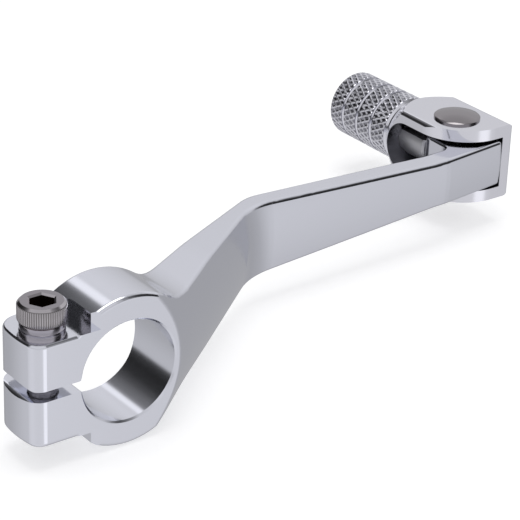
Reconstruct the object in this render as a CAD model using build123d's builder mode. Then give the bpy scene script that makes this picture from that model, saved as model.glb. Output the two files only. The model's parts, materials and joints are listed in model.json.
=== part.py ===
from build123d import *
from math import cos, hypot, radians, sin, sqrt, tan
import os

# Folding gear lever. Millimetres.
# Origin at the middle of the clamp bore, X along the lever towards the toe peg,
# Y outboard along the peg, Z up along the clamp screw and the fold pin.

# Clamp: a slit ring with two ears
bore_radius = 11.45
bore_chamfer = 0.4
clamp_radius = 17.3
clamp_width = 15.3
slit_gap = 2.4
slit_corner = 0.8
slit_end_round = 1.5
slit_end_run = 0.2
ear_half_height = 11.8
ear_reach = 23.2
ear_end_bulge = 1.1
ear_front_corner = 3.0
ear_back_corner = 5.0
seat_radius = 7.7
seat_depth = 0.2
seat_flare = 1.5

# Clamp screw, with a hexagon socket in its head
screw_reach = 16.15
screw_radius = 3.0
screw_length = 20.0
screw_tip_chamfer = 0.8
screw_head_radius = 5.0
screw_head_height = 6.0
screw_head_chamfer = 0.5
screw_base_height = 1.3
screw_base_step = 0.6
hex_across_flats = 5.0
hex_depth = 3.2
hex_mouth_chamfer = 0.4
screw_clearance = 0.3
thread_clearance = 0.05

# Arm from above: cranked outboard from the clamp, then straight to the fold pin
arm_offset = 27.3
arm_offset_x = 62.0
arm_lean = 2.0
arm_thickness = 6.6
crank_front_start = 12.75
crank_front_end = 57.4
crank_back_start = 10.9
crank_back_end = 59.2
bend_front_radius = 18.0
bend_back_radius = 14.0
clamp_back_blend = 10.0
tip_turn_setback = 14.0
tip_turn_angle = 6.6

# Arm from the side: level beside the clamp, then tapered to the tip
arm_root_half_height = 10.85
arm_tip_half_height = 6.0
taper_start = 31.0
taper_end_setback = 18.0
clamp_to_arm_blend = 16.0
taper_blend = 60.0
front_crown_radius = 34.0
grinding_allowance = 1.0
edge_round = 1.0

# Fold pin, and the lug round it with the cam that lifts the plunger
pin_x = 132.5
pin_setback = 6.8
pin_radius = 3.0
pin_clearance = 0.05
lug_radius = 5.9
lug_blend = 3.0
cam_rise = 1.7
cam_runout = 0.3
fold_limit = 75.0
cam_steps = 6

# Toe peg: fork milled from square bar, coned shoulder, grooved barrel
fork_half_width = 9.4
fork_half_height = 9.8
fork_edge_round = 1.4
fork_front_reach = 10.75
fork_front_corner = 13.0
fork_web_corner = 0.6
web_clearance = 0.3
slot_half_height = 6.7
slot_reach = 8.85
shoulder_reach = 16.85
shoulder_angle = 37.0
barrel_radius = 8.45
barrel_length = 24.0
barrel_end_chamfer = 0.6
neck_length = 1.4
neck_depth = 0.5
groove_count = 3
groove_half_width = 0.6
groove_depth = 0.7

# Plunger in the barrel's bore, and the spring behind it, its round wire drawn with flats
plunger_radius = 5.5
plunger_length = 17.3
plunger_front_chamfer = 0.5
plunger_flat_height = 2.3
plunger_guide = 6.0
plunger_clearance = 0.05
plunger_gap = 0.1
spigot_radius = 2.8
spigot_length = 3.0
barrel_end_wall = 4.5
spring_radius = 4.3
spring_wire_radius = 0.6
spring_wire_sides = 8
spring_coils = 5

# Rivet: domed head above the fork, peened foot below it
rivet_clearance = 0.03
rivet_head_radius = 5.9
rivet_rim = 1.0
rivet_dome = 0.7
rivet_foot_radius = 4.4
rivet_foot_height = 0.8
rivet_foot_chamfer = 0.3

clamp_half_width = clamp_width / 2
lean_slope = tan(radians(arm_lean))


def front_y(x):
    """Front face of the straight part of the arm."""
    return arm_offset + (x - arm_offset_x) * lean_slope


def back_y(x):
    """Back face of the straight part of the arm."""
    return front_y(x) + arm_thickness / cos(radians(arm_lean))


pin_y = back_y(pin_x) + pin_setback
tip_x = pin_x + lug_radius
tip_turn_x = pin_x - tip_turn_setback
tip_front_y = front_y(tip_turn_x) + (tip_x - tip_turn_x) * tan(radians(tip_turn_angle))
taper_end = pin_x - taper_end_setback
web_inner_x = tip_x + web_clearance
ear_corner_x = ear_end_bulge - ear_reach
seat_height = ear_half_height - seat_depth
seat_wall_x = seat_radius - screw_reach

# Corners of the ground front, seen from above
clamp_corner = Vector(crank_front_start, -clamp_half_width)
bend_corner = Vector(crank_front_end, front_y(crank_front_end))
tip_turn = Vector(tip_turn_x, front_y(tip_turn_x))
tip_corner = Vector(tip_x, tip_front_y)
crank_direction = (bend_corner - clamp_corner).normalized()
tip_direction = (tip_corner - tip_turn).normalized()
crown_depth = front_crown_radius - sqrt(front_crown_radius**2 - clamp_radius**2)


def cam_point(angle):
    """Point of the lug that the plunger's flat face meets at a fold angle, an involute."""
    turn = radians(angle)
    lift = lug_radius + cam_rise * turn
    across = lift * sin(turn) + cam_rise * cos(turn)
    along = lift * cos(turn) - cam_rise * sin(turn)
    return (pin_x - across, pin_y + along)


cam = [cam_point(fold_limit * step / cam_steps) for step in range(cam_steps + 1)]
cam_end_direction = (sin(radians(90 - fold_limit)), cos(radians(90 - fold_limit)))
lug_back_x = cam[-1][0] - cam_runout

# Lever arm, one forging: clamp with its two ears, cranked arm, and lug at the tip
with BuildPart() as lever_arm:
    with BuildSketch(Plane.XY.offset(-clamp_radius)) as plan:
        with BuildLine():
            Polyline(
                (ear_corner_x, clamp_half_width),
                (crank_back_start, clamp_half_width),
                (crank_back_end, back_y(crank_back_end)),
                (lug_back_x, back_y(lug_back_x)),
                cam[-1],
            )
            Spline(*reversed(cam), tangents=[cam_end_direction, (1, 0)])
            Line(cam[0], (pin_x, pin_y + lug_radius))
            CenterArc((pin_x, pin_y), lug_radius, 0, 90)
            Polyline(
                (tip_x, pin_y),
                tip_corner - (0, grinding_allowance),
                tip_turn - (0, grinding_allowance),
                bend_corner - (0, grinding_allowance),
                clamp_corner + (grinding_allowance, 0),
                (ear_corner_x, -clamp_half_width),
            )
            ThreePointArc(
                (ear_corner_x, -clamp_half_width),
                (-ear_reach, 0),
                (ear_corner_x, clamp_half_width),
            )
        make_face()
        for corner, radius in (
            ((crank_back_end, back_y(crank_back_end)), bend_back_radius),
            ((lug_back_x, back_y(lug_back_x)), lug_blend),
            ((crank_back_start, clamp_half_width), clamp_back_blend),
            ((ear_corner_x, -clamp_half_width), ear_front_corner),
            ((ear_corner_x, clamp_half_width), ear_back_corner),
        ):
            fillet(plan.vertices().sort_by_distance((*corner, -clamp_radius))[0], radius)
    extrude(amount=2 * clamp_radius)

    with BuildSketch(Plane.XZ) as side:
        Circle(clamp_radius)
        with Locations((-ear_reach / 2, 0)):
            Rectangle(ear_reach, 2 * ear_half_height)
        with BuildLine():
            upper = Polyline(
                (0, arm_root_half_height),
                (taper_start, arm_root_half_height),
                (taper_end, arm_tip_half_height),
                (tip_x, arm_tip_half_height),
                (tip_x, 0),
            )
            mirror(upper, about=Plane.XZ)
            Line((0, arm_root_half_height), (0, -arm_root_half_height))
        make_face()
        junction = sqrt(clamp_radius**2 - arm_root_half_height**2)
        for x, z, radius in (
            (junction, arm_root_half_height, clamp_to_arm_blend),
            (taper_start, arm_root_half_height, taper_blend),
            (taper_end, arm_tip_half_height, taper_blend),
        ):
            for level in (z, -z):
                fillet(side.vertices().sort_by_distance((x, level))[0], radius)
    extrude(amount=pin_y + lug_radius, both=True, mode=Mode.INTERSECT)

    # Front ground to a low crown, from the clamp round the bend to the tip
    with BuildLine() as grinding_path:
        FilletPolyline(
            clamp_corner - crank_direction * clamp_radius,
            bend_corner,
            tip_turn,
            tip_corner + tip_direction * clamp_radius,
            radius=bend_front_radius,
        )
    grinding_start = Plane(
        origin=grinding_path.line @ 0,
        x_dir=(crank_direction.Y, -crank_direction.X, 0),
        z_dir=crank_direction,
    )
    with BuildSketch(grinding_start):
        with BuildLine():
            ThreePointArc((-crown_depth, -clamp_radius), (0, 0), (-crown_depth, clamp_radius))
            Polyline(
                (-crown_depth, clamp_radius),
                (4 * grinding_allowance, clamp_radius),
                (4 * grinding_allowance, -clamp_radius),
                (-crown_depth, -clamp_radius),
            )
        make_face()
    sweep(path=grinding_path.line, mode=Mode.SUBTRACT)

    # Edges that follow the outline are rounded, upright corners stay as forged
    outline = lever_arm.edges().filter_by(Axis.Z, reverse=True).filter_by(Axis.Y, reverse=True)
    fillet(outline, edge_round)

    # Bore for the shaft
    with BuildSketch(Plane.XZ):
        Circle(bore_radius)
    extrude(amount=clamp_width, both=True, mode=Mode.SUBTRACT)
    bore_rims = lever_arm.edges().filter_by(GeomType.CIRCLE)
    bore_rims = bore_rims.filter_by(lambda edge: abs(edge.radius - bore_radius) < 0.01)
    chamfer(bore_rims, bore_chamfer)

    # Seats milled a little into the ears from the front, and through the clamp's rim beside them
    for side_sign in (1, -1):
        with BuildSketch(Plane.XY.offset(side_sign * seat_height)):
            with Locations((-screw_reach, 0)):
                Circle(seat_radius)
            with BuildLine():
                Polyline(
                    (-screw_reach - seat_radius, 0),
                    (-screw_reach - seat_radius, -clamp_width),
                    (seat_wall_x + seat_flare + clamp_half_width, -clamp_width),
                    (seat_wall_x, seat_flare - clamp_half_width),
                    (seat_wall_x, 0),
                    close=True,
                )
            make_face()
        extrude(amount=side_sign * clamp_radius, mode=Mode.SUBTRACT)

    # Slit that lets the clamp close on its shaft
    with BuildSketch(Plane.XZ) as slit:
        with Locations((-ear_reach, 0)):
            Rectangle(2 * ear_reach + 2 * slit_end_run, slit_gap)
        with Locations((-ear_reach - slit_end_run, 0)):
            Rectangle(ear_reach, 2 * ear_half_height, align=(Align.MAX, Align.CENTER))
        for level in (slit_gap / 2, -slit_gap / 2):
            mouth = (-ear_reach - slit_end_run, level)
            fillet(slit.vertices().sort_by_distance(mouth)[0], slit_end_round)
    extrude(amount=clamp_width, both=True, mode=Mode.SUBTRACT)
    slit_mouth = lever_arm.edges().filter_by(Axis.Y).filter_by(
        lambda edge: abs(hypot(edge.center().X, edge.center().Z) - bore_radius) < 0.01
    )
    fillet(slit_mouth, slit_corner)

    # Screw hole, plain through the upper ear and tapped through the lower one
    for side_sign, clearance in ((1, screw_clearance), (-1, thread_clearance)):
        with BuildSketch(Plane.XY):
            with Locations((-screw_reach, 0)):
                Circle(screw_radius + clearance)
        extrude(amount=side_sign * clamp_radius, mode=Mode.SUBTRACT)

    # Hole for the fold pin
    with BuildSketch(Plane.XY):
        with Locations((pin_x, pin_y)):
            Circle(pin_radius + pin_clearance)
    extrude(amount=clamp_radius, both=True, mode=Mode.SUBTRACT)
lever_arm.part.label = "lever_arm"

# Planes on the fold pin: across the peg's axis, and through it
peg_across = Plane(origin=(pin_x, pin_y, 0), x_dir=(-1, 0, 0), z_dir=(0, 1, 0))
peg_level = Plane(origin=(pin_x, pin_y, 0), x_dir=(1, 0, 0), z_dir=(0, 0, 1))
pin_upright = Plane(origin=(pin_x, pin_y, 0), x_dir=(1, 0, 0), z_dir=(0, -1, 0))
peg_axis = Axis((pin_x, pin_y, 0), (0, 1, 0))
pin_axis = Axis((pin_x, pin_y, 0), (0, 0, 1))
barrel_end = shoulder_reach + barrel_length
plunger_face = lug_radius + plunger_gap
plunger_back = plunger_face + plunger_length
bore_bottom = barrel_end - barrel_end_wall

# Toe peg, one piece: square bar, turned to a barrel and milled to a fork
with BuildPart() as toe_peg:
    with BuildSketch(peg_across.offset(-fork_front_reach)):
        RectangleRounded(2 * fork_half_width, 2 * fork_half_height, fork_edge_round)
    extrude(amount=fork_front_reach + barrel_end)

    # Everything turned: the cone down from the bar's corners, the neck and the barrel
    with BuildSketch(peg_level) as turned:
        stock_radius = hypot(fork_half_width, fork_half_height)
        cone_start = shoulder_reach - (stock_radius - barrel_radius) / tan(radians(shoulder_angle))
        with BuildLine():
            Polyline(
                (0, -fork_front_reach),
                (stock_radius, -fork_front_reach),
                (stock_radius, cone_start),
                (barrel_radius, shoulder_reach),
                (barrel_radius - neck_depth, shoulder_reach + neck_depth),
                (barrel_radius - neck_depth, shoulder_reach + neck_length - neck_depth),
                (barrel_radius, shoulder_reach + neck_length),
                (barrel_radius, barrel_end - barrel_end_chamfer),
                (barrel_radius - barrel_end_chamfer, barrel_end),
                (0, barrel_end),
                close=True,
            )
        make_face()
    revolve(axis=peg_axis, mode=Mode.INTERSECT)

    # Grooves that part the knurl into equal bands
    band = (barrel_length - neck_length) / (groove_count + 1)
    for groove in range(groove_count):
        with BuildSketch(peg_level):
            with BuildLine():
                middle = shoulder_reach + neck_length + band * (groove + 1)
                Polyline(
                    (barrel_radius - groove_depth, middle),
                    (barrel_radius, middle + groove_half_width),
                    (barrel_radius + groove_depth, middle),
                    (barrel_radius, middle - groove_half_width),
                    close=True,
                )
            make_face()
        revolve(axis=peg_axis, mode=Mode.SUBTRACT)

    # Front corner milled round the pin, so that it swings clear of the arm
    with BuildSketch(peg_level) as fork_plan:
        with Locations((0, (barrel_end - fork_front_reach) / 2)):
            Rectangle(2 * fork_half_width, barrel_end + fork_front_reach)
        fillet(
            fork_plan.vertices().sort_by_distance((-fork_half_width, -fork_front_reach))[0],
            fork_front_corner,
        )
        fillet(
            fork_plan.vertices().sort_by_distance((fork_half_width, -fork_front_reach))[0],
            fork_web_corner,
        )
    extrude(amount=stock_radius, both=True, mode=Mode.INTERSECT)

    # Slot for the lug, cut across with a round root and stopped at the web
    with BuildSketch(Plane.YZ.offset(web_inner_x)):
        with Locations((pin_y + slot_reach, 0)):
            Circle(slot_half_height)
        with Locations((pin_y - fork_front_reach, 0)):
            Rectangle(
                fork_front_reach + slot_reach,
                2 * slot_half_height,
                align=(Align.MIN, Align.CENTER),
            )
    extrude(amount=-2 * fork_half_width, mode=Mode.SUBTRACT)

    # Blind bore for the plunger and its spring
    with BuildSketch(peg_across.offset(slot_reach)):
        Circle(plunger_radius + plunger_clearance)
    extrude(amount=bore_bottom - slot_reach, mode=Mode.SUBTRACT)

    # Rivet holes in both plates of the fork
    with BuildSketch(peg_level):
        Circle(pin_radius + rivet_clearance)
    extrude(amount=stock_radius, both=True, mode=Mode.SUBTRACT)
toe_peg.part.label = "toe_peg"

# Detent plunger, a round pin with a flat along its front part and a spigot behind
with BuildPart() as detent_plunger:
    with BuildSketch(peg_across.offset(plunger_face)):
        Circle(plunger_radius)
    extrude(amount=plunger_length)
    chamfer(detent_plunger.edges().group_by(Axis.Y)[0], plunger_front_chamfer)
    with BuildSketch(peg_across.offset(plunger_face)):
        with Locations((0, plunger_flat_height)):
            Rectangle(
                2 * plunger_radius,
                plunger_radius,
                align=(Align.CENTER, Align.MIN),
            )
    extrude(amount=plunger_length - plunger_guide, mode=Mode.SUBTRACT)
    with BuildSketch(peg_across.offset(plunger_back)):
        Circle(spigot_radius)
    extrude(amount=spigot_length)
detent_plunger.part.label = "detent_plunger"

# Return spring, a coil between the plunger's shoulder and the bottom of the bore
with BuildPart() as return_spring:
    coil_length = bore_bottom - plunger_back - 2 * spring_wire_radius
    coil_start = pin_y + plunger_back + spring_wire_radius
    with BuildLine() as coil:
        Helix(
            pitch=coil_length / spring_coils,
            height=coil_length,
            radius=spring_radius,
            center=(pin_x, coil_start, 0),
            direction=(0, 1, 0),
        )
    with BuildSketch(Plane(origin=coil.line @ 0, z_dir=coil.line % 0)):
        RegularPolygon(spring_wire_radius, spring_wire_sides)
    sweep(path=coil.line, is_frenet=True)
return_spring.part.label = "return_spring"

# Pivot rivet, fixed in the fork and free in the lug
with BuildPart() as pivot_rivet:
    with BuildSketch(pin_upright):
        head_top = fork_half_height + rivet_rim
        foot_bottom = -fork_half_height - rivet_foot_height
        with BuildLine():
            Polyline(
                (0, foot_bottom),
                (rivet_foot_radius - rivet_foot_chamfer, foot_bottom),
                (rivet_foot_radius, foot_bottom + rivet_foot_chamfer),
                (rivet_foot_radius, -fork_half_height),
                (pin_radius, -fork_half_height),
                (pin_radius, fork_half_height),
                (rivet_head_radius, fork_half_height),
                (rivet_head_radius, head_top),
            )
            TangentArc(
                (0, head_top + rivet_dome),
                (rivet_head_radius, head_top),
                tangent=(1, 0),
            )
            Line((0, head_top + rivet_dome), (0, foot_bottom))
        make_face()
    revolve(axis=pin_axis)
pivot_rivet.part.label = "pivot_rivet"

# Clamp screw, through the upper ear into the lower one
with BuildPart() as clamp_screw:
    with BuildSketch(Plane.XY.offset(seat_height)):
        with Locations((-screw_reach, 0)):
            Circle(screw_head_radius - screw_base_step)
    extrude(amount=screw_base_height)
    with BuildSketch(Plane.XY.offset(seat_height + screw_base_height)):
        with Locations((-screw_reach, 0)):
            Circle(screw_head_radius)
    extrude(amount=screw_head_height - screw_base_height)
    head_rims = clamp_screw.edges().filter_by(GeomType.CIRCLE)
    head_rims = head_rims.filter_by(lambda edge: abs(edge.radius - screw_head_radius) < 0.01)
    chamfer(head_rims, screw_head_chamfer)
    with BuildSketch(Plane.XY.offset(seat_height)):
        with Locations((-screw_reach, 0)):
            Circle(screw_radius)
    extrude(amount=-screw_length)
    chamfer(clamp_screw.edges().group_by(Axis.Z)[0], screw_tip_chamfer)
    with BuildSketch(Plane.XY.offset(seat_height + screw_head_height)):
        with Locations((-screw_reach, 0)):
            RegularPolygon(hex_across_flats / 2, 6, major_radius=False)
    extrude(amount=-hex_depth, mode=Mode.SUBTRACT)
    hex_mouth = clamp_screw.faces().sort_by(Axis.Z)[-1].inner_wires()[0].edges()
    chamfer(hex_mouth, hex_mouth_chamfer)
clamp_screw.part.label = "clamp_screw"

os.makedirs("parts", exist_ok=True)
export_step(lever_arm.part, "parts/lever_arm.step")
export_step(toe_peg.part, "parts/toe_peg.step")
export_step(detent_plunger.part, "parts/detent_plunger.step")
export_step(return_spring.part, "parts/return_spring.step")
export_step(pivot_rivet.part, "parts/pivot_rivet.step")
export_step(clamp_screw.part, "parts/clamp_screw.step")
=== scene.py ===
# Folding gear lever: the finish of each piece, put on in the order the lever is made and put together.
# Metres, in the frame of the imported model. The lever lies along X, the peg along Y, the screw along Z.
import json
import math

import bmesh
import bpy
from mathutils import Matrix, Vector


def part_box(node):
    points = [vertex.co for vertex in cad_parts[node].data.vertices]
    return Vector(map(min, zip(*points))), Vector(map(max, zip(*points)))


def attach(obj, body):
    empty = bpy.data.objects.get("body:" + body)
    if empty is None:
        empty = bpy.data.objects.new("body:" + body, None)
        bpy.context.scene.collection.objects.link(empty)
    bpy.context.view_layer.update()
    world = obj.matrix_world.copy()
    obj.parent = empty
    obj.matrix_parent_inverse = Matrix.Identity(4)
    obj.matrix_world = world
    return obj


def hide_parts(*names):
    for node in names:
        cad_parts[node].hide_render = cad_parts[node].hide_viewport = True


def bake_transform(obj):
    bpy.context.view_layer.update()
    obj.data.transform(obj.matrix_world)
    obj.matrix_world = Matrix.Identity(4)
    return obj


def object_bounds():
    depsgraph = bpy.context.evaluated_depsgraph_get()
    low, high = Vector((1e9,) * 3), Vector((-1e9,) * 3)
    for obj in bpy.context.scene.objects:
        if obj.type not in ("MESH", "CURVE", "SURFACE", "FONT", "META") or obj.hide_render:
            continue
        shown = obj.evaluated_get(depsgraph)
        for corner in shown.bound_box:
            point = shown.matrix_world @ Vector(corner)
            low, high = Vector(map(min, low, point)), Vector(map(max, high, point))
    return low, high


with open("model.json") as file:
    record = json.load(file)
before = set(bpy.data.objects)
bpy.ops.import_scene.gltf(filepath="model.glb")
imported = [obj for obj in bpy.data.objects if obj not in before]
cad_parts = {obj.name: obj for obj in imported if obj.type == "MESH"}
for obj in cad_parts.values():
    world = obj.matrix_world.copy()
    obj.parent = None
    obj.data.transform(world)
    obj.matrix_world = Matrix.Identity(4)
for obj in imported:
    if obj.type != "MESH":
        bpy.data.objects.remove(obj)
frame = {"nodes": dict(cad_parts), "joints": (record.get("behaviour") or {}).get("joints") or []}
nodes = frame["nodes"]
cad_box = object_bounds()


# Lever arm
# One aluminium forging with a split clamp at one end and a lug at the other, trimmed, ground smooth
# and polished all over by hand on a wheel, then anodised clear.

arm_colour = (0.79, 0.80, 0.86)
bore_surface = 0.0119
bore_roughness = 0.03
polish_depth = 0.0001
hairline_scale = (250.0, 6000.0, 6000.0)
hairline_height = 0.02


def add_node(tree, kind, **values):
    """Adds a shader node. Values name its sockets, or its own settings where it has no such socket."""
    node = tree.nodes.new(kind)
    for name, value in values.items():
        socket = node.inputs.get(name.replace("_", " "))
        if socket is None:
            setattr(node, name, value)
        elif isinstance(value, bpy.types.NodeSocket):
            tree.links.new(value, socket)
        else:
            socket.default_value = value
    return node


def calculate(tree, operation, *terms):
    """A maths node in a shader tree, given sockets or numbers. Gives back its output socket."""
    node = tree.nodes.new("ShaderNodeMath")
    node.operation = operation
    for socket, term in zip(node.inputs, terms):
        if isinstance(term, bpy.types.NodeSocket):
            tree.links.new(term, socket)
        else:
            socket.default_value = term
    return node.outputs[0]


def place_on_piece(tree):
    """The X, Y and Z of a point on the piece, by name."""
    at = add_node(tree, "ShaderNodeTexCoord")
    return add_node(tree, "ShaderNodeSeparateXYZ", Vector=at.outputs["Object"]).outputs


def distance(tree, first, second):
    """How far a point is from an axis, given its two steps away from it."""
    squared = calculate(tree, "MULTIPLY_ADD", first, first, calculate(tree, "MULTIPLY", second, second))
    return calculate(tree, "SQRT", squared)


def build_polish_group():
    """Wheel polish: slow waves left by the wheel, a thin haze, and fine hairlines along X."""
    group = bpy.data.node_groups.new("wheel_polish", "ShaderNodeTree")
    group.interface.new_socket("Vector", in_out="INPUT", socket_type="NodeSocketVector")
    for label in ("Roughness", "Haze", "Wave"):
        group.interface.new_socket(label, in_out="INPUT", socket_type="NodeSocketFloat")
    for label in ("Roughness", "Height"):
        group.interface.new_socket(label, in_out="OUTPUT", socket_type="NodeSocketFloat")
    given = group.nodes.new("NodeGroupInput").outputs
    result = group.nodes.new("NodeGroupOutput").inputs
    waves = add_node(group, "ShaderNodeTexNoise", Vector=given["Vector"], Scale=55.0, Detail=1.0)
    haze = add_node(group, "ShaderNodeTexNoise", Vector=given["Vector"], Scale=240.0, Detail=3.0)
    stretch = add_node(group, "ShaderNodeMapping", Vector=given["Vector"], Scale=hairline_scale)
    hairs = add_node(group, "ShaderNodeTexNoise", Vector=stretch.outputs[0], Scale=1.0, Detail=2.0)
    spread = calculate(group, "MULTIPLY_ADD", haze.outputs["Fac"], given["Haze"], given["Roughness"])
    swell = calculate(group, "MULTIPLY", waves.outputs["Fac"], given["Wave"])
    relief = calculate(group, "MULTIPLY_ADD", hairs.outputs["Fac"], hairline_height, swell)
    group.links.new(spread, result["Roughness"])
    group.links.new(relief, result["Height"])
    return group


wheel_polish = build_polish_group()


def polished_metal(name, colour, roughness, haze, wave, bump):
    """A bright metal whose gloss and slow waves come from the wheel polish group."""
    material = bpy.data.materials.new(name)
    material.use_nodes = True
    tree = material.node_tree
    shader = tree.nodes["Principled BSDF"]
    at = add_node(tree, "ShaderNodeTexCoord").outputs["Object"]
    polish = add_node(tree, "ShaderNodeGroup", node_tree=wheel_polish)
    tree.links.new(at, polish.inputs["Vector"])
    for label, value in (("Roughness", roughness), ("Haze", haze), ("Wave", wave)):
        polish.inputs[label].default_value = value
    relief = add_node(tree, "ShaderNodeBump", Strength=bump, Distance=polish_depth)
    tree.links.new(polish.outputs["Height"], relief.inputs["Height"])
    tree.links.new(polish.outputs["Roughness"], shader.inputs["Roughness"])
    tree.links.new(relief.outputs["Normal"], shader.inputs["Normal"])
    shader.inputs["Base Color"].default_value = (*colour, 1.0)
    shader.inputs["Metallic"].default_value = 1.0
    return material


def roughen_where(material, mask, roughness):
    """Adds to a metal's roughness where a mask is 1."""
    tree = material.node_tree
    gloss = tree.nodes["Principled BSDF"].inputs["Roughness"]
    rougher = calculate(tree, "MULTIPLY_ADD", mask, roughness, gloss.links[0].from_socket)
    tree.links.new(rougher, gloss)


def dull_clamp_bore(material):
    """The clamp's bore is bored and honed, so it is a little duller than the wheel polish."""
    tree = material.node_tree
    place = place_on_piece(tree)
    inside = calculate(tree, "LESS_THAN", distance(tree, place["X"], place["Z"]), bore_surface)
    roughen_where(material, inside, bore_roughness)


forging_polish = polished_metal("polished_forging", arm_colour, roughness=0.1, haze=0.04, wave=1.0, bump=0.15)
dull_clamp_bore(forging_polish)
nodes["lever_arm"].data.materials[0] = forging_polish


# Clamp screw
# A stainless socket head screw. The head is cold formed, its side is rolled with a fine straight
# knurl for the fingers, and its rim and base are turned bright.

screw_colour = (0.56, 0.53, 0.55)
# Painted shade: the head's top, the socket, the shank under the head and the knurl's grooves are painted
# darker than the screw's own colour.
screw_top_painted_shade = (0.34, 0.32, 0.34)
socket_painted_shade = (0.10, 0.07, 0.05)
shank_painted_shade = (0.30, 0.29, 0.30)
groove_painted_shade = (0.20, 0.19, 0.19)
screw_top_roughness = 0.06
socket_roughness = 0.2
shank_roughness = 0.25

socket_radius = 0.00295
screw_head_radius = 0.005
screw_head_height = 0.006
screw_head_chamfer = 0.0005
screw_knurl_teeth = 66
screw_knurl_rise = 0.00018
screw_knurl_wall = 0.0002
points_per_tooth = 4
lower_fade = 1 / 12
upper_fade = 1 / 18
groove_shares = (0.9, 0.1, -0.2)
knurl_sink = 0.00001
collar_height = 0.0013
collar_radius = 0.0048
collar_bevel = 0.0003
collar_foot_share = 0.96
collar_wall = 0.0006
collar_lift = 0.00002
collar_overlap = 0.0001
collar_columns = 96
screw_crease = 40
facing_up = 0.95
skin = 0.0001

screw_low, screw_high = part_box("clamp_screw")
screw_middle = (screw_low + screw_high) / 2
head_top = screw_high.z
head_foot = head_top - screw_head_height


def blend_colours(tree, factor, first, second):
    """Mixes two colours, given as sockets or as three numbers, by a factor socket."""
    mix = add_node(tree, "ShaderNodeMix", data_type="RGBA")
    for name, value in (("Factor_Float", factor), ("A_Color", first), ("B_Color", second)):
        socket = next(one for one in mix.inputs if one.identifier == name)
        if isinstance(value, bpy.types.NodeSocket):
            tree.links.new(value, socket)
        else:
            socket.default_value = (*value, 1.0)
    return next(one for one in mix.outputs if one.identifier == "Result_Color")


def colour_where(material, mask, colour):
    """Lays a colour over a metal's own where a mask is 1."""
    tree = material.node_tree
    paint = tree.nodes["Principled BSDF"].inputs["Base Color"]
    under = paint.links[0].from_socket if paint.is_linked else paint.default_value[:3]
    tree.links.new(blend_colours(tree, mask, under, colour), paint)


def soft_step(tree, value, start, end):
    """Rises smoothly from 0 at the start to 1 at the end."""
    step = add_node(tree, "ShaderNodeMapRange", interpolation_type="SMOOTHSTEP", Value=value)
    step.inputs["From Min"].default_value = start
    step.inputs["From Max"].default_value = end
    return step.outputs["Result"]


def knurl_valley(tree, away, radius, rise, shares):
    """1 in a knurl's valleys and 0 on its ridges and inside the metal, by the distance from its axis.
    The shares of the knurl's rise are where a ridge ends, where a valley is full, and where metal starts."""
    ridge, valley, metal = shares
    height = calculate(tree, "DIVIDE", calculate(tree, "SUBTRACT", away, radius), rise)
    outside = calculate(tree, "GREATER_THAN", height, metal)
    return calculate(tree, "MULTIPLY", soft_step(tree, height, ridge, valley), outside)


def shade_screw(material):
    """Painted shade: the head's top is painted darker than its side, and the socket, the shank under the head
    and the knurl's grooves dark. The top, socket and shank are also rougher.
    """
    tree = material.node_tree
    place = place_on_piece(tree)
    off_x = calculate(tree, "SUBTRACT", place["X"], screw_middle.x)
    off_y = calculate(tree, "SUBTRACT", place["Y"], screw_middle.y)
    away = distance(tree, off_x, off_y)
    normal = add_node(tree, "ShaderNodeNewGeometry").outputs["Normal"]
    upward = add_node(tree, "ShaderNodeSeparateXYZ", Vector=normal).outputs["Z"]
    at_top = calculate(tree, "GREATER_THAN", place["Z"], head_top - skin)
    on_top = calculate(tree, "MULTIPLY", calculate(tree, "GREATER_THAN", upward, facing_up), at_top)
    below_rim = calculate(tree, "LESS_THAN", place["Z"], head_top - screw_head_chamfer)
    in_head = calculate(tree, "MULTIPLY", calculate(tree, "GREATER_THAN", place["Z"], head_foot), below_rim)
    in_socket = calculate(tree, "MULTIPLY", calculate(tree, "LESS_THAN", away, socket_radius), in_head)
    on_shank = calculate(tree, "LESS_THAN", place["Z"], head_foot - skin)
    in_groove = knurl_valley(tree, away, screw_head_radius, screw_knurl_rise, groove_shares)
    in_groove = calculate(tree, "MULTIPLY", in_groove, below_rim)
    # Painted shade: darker colours on the top, in the socket, on the shank and in the knurl's grooves.
    colour_where(material, on_top, screw_top_painted_shade)
    colour_where(material, in_socket, socket_painted_shade)
    colour_where(material, on_shank, shank_painted_shade)
    colour_where(material, in_groove, groove_painted_shade)
    roughen_where(material, on_top, screw_top_roughness)
    roughen_where(material, in_socket, socket_roughness)
    roughen_where(material, on_shank, shank_roughness)


def finish_mesh(bm, name, material, smooth=True):
    """Turns a bmesh into an object with its normals outwards."""
    bmesh.ops.recalc_face_normals(bm, faces=bm.faces)
    mesh = bpy.data.meshes.new(name)
    bm.to_mesh(mesh)
    bm.free()
    mesh.materials.append(material)
    mesh.polygons.foreach_set("use_smooth", [smooth] * len(mesh.polygons))
    piece = bpy.data.objects.new(name, mesh)
    bpy.context.scene.collection.objects.link(piece)
    return piece


def open_tube(columns, radius, heights):
    """A bmesh tube up Z with a row of points at each height, and the rows from bottom to top."""
    bm = bmesh.new()
    first = bmesh.ops.create_circle(bm, segments=columns, radius=radius)["verts"]
    bmesh.ops.translate(bm, verts=first, vec=(0, 0, heights[0]))
    rows = [first]
    edges = list(bm.edges)
    for low, high in zip(heights, heights[1:]):
        grown = bmesh.ops.extrude_edge_only(bm, edges=edges)["geom"]
        edges = [part for part in grown if isinstance(part, bmesh.types.BMEdge)]
        edges = [edge for edge in edges if not edge.link_faces[1:]]
        verts = [part for part in grown if isinstance(part, bmesh.types.BMVert)]
        bmesh.ops.translate(bm, verts=verts, vec=(0, 0, high - low))
        rows.append(verts)
    return bm, rows


def close_inside(bm, rows, radius):
    """Turns a tube into a closed ring with an inner wall, hidden in the metal under it."""
    for row in (rows[0], rows[-1]):
        for vert in row:
            vert.co.xy = vert.co.xy.normalized() * radius
    rims = [edge for edge in bm.edges if edge.is_boundary]
    bmesh.ops.bridge_loops(bm, edges=rims)


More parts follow.
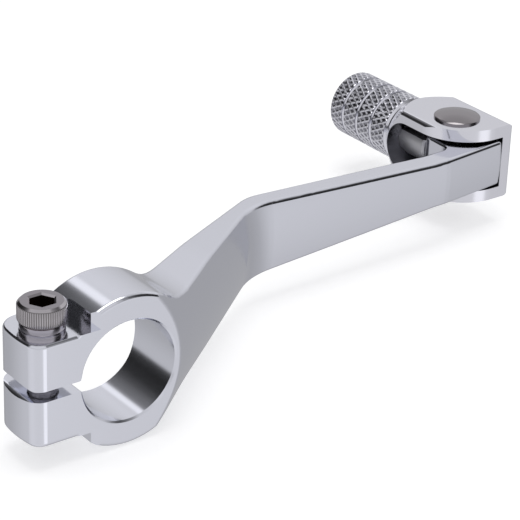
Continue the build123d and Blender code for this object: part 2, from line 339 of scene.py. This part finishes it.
def build_screw_knurl(material):
    """The straight knurl, a ring of teeth that fade out towards both ends."""
    top = head_top - screw_head_chamfer
    base = head_foot + collar_height + screw_head_chamfer
    run = top - base
    heights = [base, base, base + run * lower_fade, top - run * upper_fade, top, top]
    bm, rows = open_tube(points_per_tooth * screw_knurl_teeth, screw_head_radius, heights)
    for row in rows[2:-2]:
        for vert in row:
            turn = math.atan2(vert.co.y, vert.co.x) / math.tau * screw_knurl_teeth
            ridge = 1 - 2 * abs(turn - round(turn))
            vert.co.xy *= 1 + (screw_knurl_rise * ridge - knurl_sink) / screw_head_radius
    close_inside(bm, rows, screw_head_radius - screw_knurl_wall)
    bmesh.ops.translate(bm, verts=bm.verts, vec=(screw_middle.x, screw_middle.y, 0))
    return finish_mesh(bm, "screw_head_knurl", material)


def build_screw_collar(material):
    """The bright turned collar between the knurl and the seat."""
    foot = head_foot + collar_lift
    top = foot + collar_height + collar_overlap
    bm, rows = open_tube(collar_columns, collar_radius, [foot, foot, foot + collar_bevel, top, top])
    for vert in rows[1]:
        vert.co.xy *= collar_foot_share
    close_inside(bm, rows, collar_radius - collar_wall)
    bmesh.ops.translate(bm, verts=bm.verts, vec=(screw_middle.x, screw_middle.y, 0))
    return finish_mesh(bm, "screw_head_base", material)


stainless = polished_metal("stainless_screw", screw_colour, roughness=0.06, haze=0.08, wave=0.4, bump=0.3)
shade_screw(stainless)
nodes["clamp_screw"].data.materials[0] = stainless
for piece in (build_screw_knurl(stainless), build_screw_collar(stainless)):
    piece.data.set_sharp_from_angle(angle=math.radians(screw_crease))
    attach(piece, "lever")


# Toe peg
# One piece of square aluminium bar. The barrel is turned, rolled with a diamond knurl for the
# boot and parted into bands by three grooves. The fork, its slot and the blind bore are milled.

peg_colour = (0.80, 0.80, 0.85)
# Painted shade: the knurl's pits, the slot and the bore are painted darker than the peg's own colour.
pit_painted_shade = (0.33, 0.33, 0.37)
slot_painted_shade = (0.17, 0.17, 0.19)
slot_roughness = 0.15

barrel_radius = 0.00845
barrel_end_chamfer = 0.0006
shoulder_reach = 0.01685
neck_length = 0.0014
band_count = 4
groove_half_width = 0.00045
knurl_starts = 33
knurl_lean = 28.0
knurl_rise = 0.00024
knurl_line = 0.56
steps_per_diamond = 10
band_wall = 0.0004
pit_shares = (0.6, 0.0, -0.3)

slot_root = 0.00885
slot_half_height = 0.0067
slot_web_side = 0.0063
spring_bore_radius = 0.00555
cut_margin = 0.00006

fold_joint = next(joint for joint in frame["joints"] if joint["name"] == "peg_fold")
pin = Vector(fold_joint["pos_m"])
barrel_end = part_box("toe_peg")[1].y - pin.y
spring_bore_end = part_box("return_spring")[1].y + cut_margin
bands_start = shoulder_reach + neck_length
band_length = (barrel_end - bands_start) / band_count


def shade_peg(material):
    """Painted shade: the slot, the bore and the knurl's pits are painted darker. The slot and bore are also
    rougher, as they are left as milled.
    """
    tree = material.node_tree
    place = place_on_piece(tree)
    past_root = calculate(tree, "MAXIMUM", calculate(tree, "SUBTRACT", place["Y"], pin.y + slot_root), 0.0)
    round_root = distance(tree, past_root, place["Z"])
    before_web = calculate(tree, "LESS_THAN", place["X"], pin.x + slot_web_side)
    in_slot = calculate(tree, "LESS_THAN", round_root, slot_half_height + cut_margin)
    in_slot = calculate(tree, "MULTIPLY", in_slot, before_web)
    round_axis = distance(tree, calculate(tree, "SUBTRACT", place["X"], pin.x), place["Z"])
    before_end = calculate(tree, "LESS_THAN", place["Y"], spring_bore_end)
    in_bore = calculate(tree, "LESS_THAN", round_axis, spring_bore_radius + cut_margin)
    in_bore = calculate(tree, "MULTIPLY", in_bore, calculate(tree, "GREATER_THAN", past_root, 0.0))
    in_bore = calculate(tree, "MULTIPLY", in_bore, before_end)
    milled = calculate(tree, "MAXIMUM", in_slot, in_bore)
    in_pit = knurl_valley(tree, round_axis, barrel_radius, knurl_rise, pit_shares)
    on_bands = calculate(tree, "GREATER_THAN", place["Y"], pin.y + bands_start)
    in_pit = calculate(tree, "MULTIPLY", in_pit, on_bands)
    # Painted shade in the slot and bore, and in the knurl's pits.
    colour_where(material, milled, slot_painted_shade)
    colour_where(material, in_pit, pit_painted_shade)
    roughen_where(material, milled, slot_roughness)


def build_knurl_band(name, material, start, end):
    """One band of diamond knurl, made up Z and then laid along the peg."""
    diamond_width = math.tau * barrel_radius / knurl_starts
    diamond_length = diamond_width / math.tan(math.radians(knurl_lean))
    count = round((end - start) / (diamond_length / steps_per_diamond))
    step = (end - start) / count
    heights = [start] + [start + step * row for row in range(count + 1)] + [end]
    bm, rows = open_tube(knurl_starts * steps_per_diamond, barrel_radius, heights)
    for row in rows[2:-2]:
        for vert in row:
            turn = math.atan2(vert.co.y, vert.co.x) / math.tau * knurl_starts
            along = vert.co.z / diamond_length
            gaps = [abs(phase - round(phase)) for phase in (turn + along, turn - along)]
            crest = max(0.0, 1 - min(gaps) * 2 / knurl_line)
            vert.co.xy *= 1 + (knurl_rise * crest - knurl_sink) / barrel_radius
    close_inside(bm, rows, barrel_radius - band_wall)
    lay = Matrix.Rotation(math.radians(-90), 4, "X")
    bmesh.ops.transform(bm, matrix=lay, verts=bm.verts)
    bmesh.ops.translate(bm, verts=bm.verts, vec=(pin.x, pin.y, 0))
    return finish_mesh(bm, name, material, smooth=False)


peg_polish = polished_metal("polished_peg", peg_colour, roughness=0.1, haze=0.06, wave=1.0, bump=0.25)
shade_peg(peg_polish)
nodes["toe_peg"].data.materials[0] = peg_polish
for index in range(band_count):
    band_start = bands_start + band_length * index
    band_end = band_start + band_length
    before = groove_half_width if index > 0 else 0
    after = groove_half_width if index < band_count - 1 else barrel_end_chamfer
    band = build_knurl_band(f"peg_knurl_{index + 1}", peg_polish, band_start + before, band_end - after)
    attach(band, "peg")


# Detent plunger and return spring
# The plunger is a hardened steel pin with a ground flat, left matte. The spring behind it is drawn
# wire, shut in the barrel's bore: its back end rests in the bore and its front end on the plunger.

plunger_colour = (0.62, 0.62, 0.64)
spring_colour = (0.5, 0.5, 0.52)
merge_distance = 0.000001


def build_spring(material):
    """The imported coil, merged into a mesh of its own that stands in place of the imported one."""
    packed = nodes["return_spring"]
    bm = bmesh.new()
    bm.from_mesh(packed.data)
    bmesh.ops.remove_doubles(bm, verts=bm.verts, dist=merge_distance)
    bmesh.ops.transform(bm, matrix=packed.matrix_world, verts=bm.verts)
    coil = finish_mesh(bm, "spring_coil", material)
    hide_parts("return_spring")
    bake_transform(coil)


plunger_steel = polished_metal("plunger_steel", plunger_colour, roughness=0.42, haze=0.1, wave=0.2, bump=0.3)
nodes["detent_plunger"].data.materials[0] = plunger_steel
spring_steel = polished_metal("spring_steel", spring_colour, roughness=0.25, haze=0.1, wave=0.2, bump=0.2)
build_spring(spring_steel)


# Pivot rivet
# A stainless rivet with a low domed head, turned and tumbled to a satin, then peened over below.

rivet_colour = (0.33, 0.31, 0.32)
rivet_head_rim = 0.00055
rivet_rim_bevel = 0.00015
rivet_foot_share = 0.75
rivet_shank_radius = 0.003
rivet_columns = 96
rivet_dome_steps = 12
rivet_crease = 30
fork_half_height = 0.0098


def build_rivet(material):
    """The rivet turned from its profile: foot, shank, and a head with a low rim and a full dome."""
    low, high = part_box("pivot_rivet")
    head_radius = (high.x - low.x) / 2
    foot_radius = head_radius * rivet_foot_share
    rim_top = fork_half_height + rivet_head_rim
    rise = high.z - rim_top
    reach = head_radius - rivet_rim_bevel
    dome_radius = (reach * reach + rise * rise) / (2 * rise)
    profile = [(0, low.z), (foot_radius, low.z), (foot_radius, -fork_half_height)]
    profile += [(rivet_shank_radius, -fork_half_height), (rivet_shank_radius, fork_half_height)]
    profile += [(head_radius, fork_half_height), (head_radius, rim_top - rivet_rim_bevel)]
    spread = math.asin(reach / dome_radius)
    for step in range(rivet_dome_steps + 1):
        turn = spread * (1 - step / rivet_dome_steps)
        profile.append((dome_radius * math.sin(turn), high.z - dome_radius * (1 - math.cos(turn))))
    bm = bmesh.new()
    verts = [bm.verts.new((radius, 0, height)) for radius, height in profile]
    edges = [bm.edges.new(pair) for pair in zip(verts, verts[1:])]
    bmesh.ops.spin(
        bm, geom=verts + edges, axis=(0, 0, 1), angle=math.tau, steps=rivet_columns, use_merge=True
    )
    bmesh.ops.remove_doubles(bm, verts=bm.verts, dist=merge_distance)
    bmesh.ops.translate(bm, verts=bm.verts, vec=(pin.x, pin.y, 0))
    piece = finish_mesh(bm, "rivet", material)
    piece.data.set_sharp_from_angle(angle=math.radians(rivet_crease))
    return piece


rivet_satin = polished_metal("stainless_rivet", rivet_colour, roughness=0.1, haze=0.12, wave=0.6, bump=0.3)
rivet = build_rivet(rivet_satin)
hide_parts("pivot_rivet")
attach(rivet, "peg")


# Studio
# A pale floor under the lever, a soft box above it, and a white room with two dark gaps in its walls.
# The gaps stand left and right of the camera's line, and draw the dark lines along the metal's edges.
# Headings are degrees from +Y towards +X, and levels are the sine of the angle above the floor.

camera_place = (-0.2160, -0.3325, 0.2162)
camera_tilt = 90 - 25.99
camera_roll = 2.17
camera_heading = -37.42
photo_pixels = 520
focal_pixels = 2166.99
sensor_width = 36.0
nearest_seen = 0.01

floor_colour = (0.8, 0.8, 0.8)
floor_radius = 3.0
floor_columns = 96
floor_drop = 0.0003
floor_lift = 0.5

soft_box_place = (0.06, 0.02, 0.75)
soft_box_target = (0.06, 0.02, 0.0)
soft_box_side = 0.5
soft_box_watts = 1.5

room_light = (0.52, 0.52, 0.53)
room_tint = (1.0, 1.0, 1.03)

# Each gap: its heading, and how far round from it the dark starts and is full.
gaps = ((-32.0, 48.0, 27.0), (130.0, 32.0, 6.0))

# The tones of the walls and of the gaps, from the floor up: level, tone.
wall_tones = ((0.0, 0.56), (0.26, 0.66), (0.57, 0.76), (0.75, 0.66), (1.0, 0.55))
gap_tones = (
    (0.0, 0.10), (0.09, 0.04), (0.26, 0.02), (0.50, 0.03), (0.62, 0.08), (0.80, 0.35), (1.0, 0.50)
)

# The room below the floor's level goes from light, behind the heading, to dark, ahead of it.
below_heading = 40.0
below_tones = (
    (0.0, 0.69), (0.18, 0.75), (0.33, 0.73), (0.50, 0.62), (0.67, 0.47), (0.82, 0.41), (1.0, 0.42)
)
horizon = (0.02, -0.08)

# Each lit edge: its heading, how far round it starts and is full, its level, its reach, its tone.
lit_edges = ((11.0, 8.0, 2.0, 0.67, 0.09, 1.05), (166.0, 18.0, 3.0, -0.46, 0.20, 1.05))


def build_floor():
    """The floor bears the lever's shadow. The metal doesn't mirror it, but the lower half of the room."""
    low, high = cad_box
    bm = bmesh.new()
    bmesh.ops.create_circle(bm, cap_ends=True, segments=floor_columns, radius=floor_radius)
    centre = (low + high) / 2
    bmesh.ops.translate(bm, verts=bm.verts, vec=(centre.x, centre.y, low.z - floor_drop))
    paint = bpy.data.materials.new("floor_paint")
    paint.use_nodes = True
    tree = paint.node_tree
    shader = tree.nodes["Principled BSDF"].inputs
    shader["Base Color"].default_value = (*floor_colour, 1.0)
    shader["Roughness"].default_value = 1.0
    shader["Specular IOR Level"].default_value = 0.0
    shader["Emission Color"].default_value = (1.0, 1.0, 1.0, 1.0)
    path = add_node(tree, "ShaderNodeLightPath").outputs
    lift = calculate(tree, "MULTIPLY", path["Is Camera Ray"], floor_lift)
    unmirrored = calculate(tree, "SUBTRACT", 1.0, path["Is Glossy Ray"])
    tree.links.new(lift, shader["Emission Strength"])
    tree.links.new(unmirrored, shader["Alpha"])
    finish_mesh(bm, "floor", paint, smooth=False)


def tinted(tone):
    return tuple(tone * tint for tint in room_tint)


def room_ramp(tree, factor, tones):
    """Tones of grey along a factor from 0 to 1."""
    ramp = add_node(tree, "ShaderNodeValToRGB", Fac=factor)
    for _ in tones[2:]:
        ramp.color_ramp.elements.new(0.5)
    for stop, (place, tone) in zip(ramp.color_ramp.elements, tones):
        stop.position = place
        stop.color = (*tinted(tone), 1.0)
    return ramp.outputs["Color"]


def aim(tree, along, across, heading):
    """How far a direction points along a heading."""
    turn = math.radians(heading)
    sideways = calculate(tree, "MULTIPLY", across, math.cos(turn))
    return calculate(tree, "MULTIPLY_ADD", along, math.sin(turn), sideways)


def round_heading(tree, along, across, spread, heading, outer, inner):
    """1 near a heading and 0 away from it, between two angles."""
    toward = calculate(tree, "DIVIDE", aim(tree, along, across, heading), spread)
    return soft_step(tree, toward, math.cos(math.radians(outer)), math.cos(math.radians(inner)))


def build_room():
    """The room that the metal mirrors. The camera sees plain white, and all else gets plain light."""
    world = bpy.data.worlds.new("studio")
    world.use_nodes = True
    bpy.context.scene.world = world
    tree = world.node_tree
    at = add_node(tree, "ShaderNodeTexCoord")
    along, across, level = add_node(tree, "ShaderNodeSeparateXYZ", Vector=at.outputs["Generated"]).outputs
    flatness = calculate(tree, "SUBTRACT", 1.0, calculate(tree, "MULTIPLY", level, level))
    spread = calculate(tree, "SQRT", flatness)
    open_gap = 0.0
    for heading, outer, inner in gaps:
        gap = round_heading(tree, along, across, spread, heading, outer, inner)
        open_gap = calculate(tree, "MAXIMUM", gap, open_gap)
    walls = room_ramp(tree, level, wall_tones)
    walls = blend_colours(tree, open_gap, walls, room_ramp(tree, level, gap_tones))
    ahead = calculate(tree, "MULTIPLY_ADD", aim(tree, along, across, below_heading), 0.5, 0.5)
    is_below = soft_step(tree, level, *horizon)
    walls = blend_colours(tree, is_below, walls, room_ramp(tree, ahead, below_tones))
    for heading, outer, inner, height, reach, tone in lit_edges:
        off_level = calculate(tree, "ABSOLUTE", calculate(tree, "SUBTRACT", level, height))
        lit = round_heading(tree, along, across, spread, heading, outer, inner)
        lit = calculate(tree, "MULTIPLY", lit, soft_step(tree, off_level, reach, reach / 2))
        walls = blend_colours(tree, lit, walls, tinted(tone))
    path = add_node(tree, "ShaderNodeLightPath").outputs
    mirrored = blend_colours(tree, path["Is Glossy Ray"], room_light, walls)
    seen = blend_colours(tree, path["Is Camera Ray"], mirrored, (1.0, 1.0, 1.0))
    tree.links.new(seen, tree.nodes["Background"].inputs["Color"])


def build_soft_box():
    lamp = bpy.data.lights.new("soft_box_above", "AREA")
    lamp.shape = "RECTANGLE"
    lamp.size = soft_box_side
    lamp.size_y = soft_box_side
    lamp.energy = soft_box_watts
    holder = bpy.data.objects.new("soft_box_above", lamp)
    bpy.context.scene.collection.objects.link(holder)
    holder.location = soft_box_place
    aimed = Vector(soft_box_target) - Vector(soft_box_place)
    holder.rotation_euler = aimed.to_track_quat("-Z", "Y").to_euler()


def build_camera():
    lens = bpy.data.cameras.new("camera")
    lens.sensor_width = sensor_width
    lens.lens = sensor_width * focal_pixels / photo_pixels
    lens.clip_start = nearest_seen
    holder = bpy.data.objects.new("camera", lens)
    bpy.context.scene.collection.objects.link(holder)
    heading = Matrix.Rotation(math.radians(camera_heading), 4, "Z")
    tilt = Matrix.Rotation(math.radians(camera_tilt), 4, "X")
    roll = Matrix.Rotation(math.radians(camera_roll), 4, "Z")
    holder.matrix_world = Matrix.Translation(camera_place) @ heading @ tilt @ roll
    bpy.context.scene.camera = holder


build_floor()
build_room()
build_soft_box()
build_camera()
bpy.context.scene.view_settings.view_transform = "Standard"
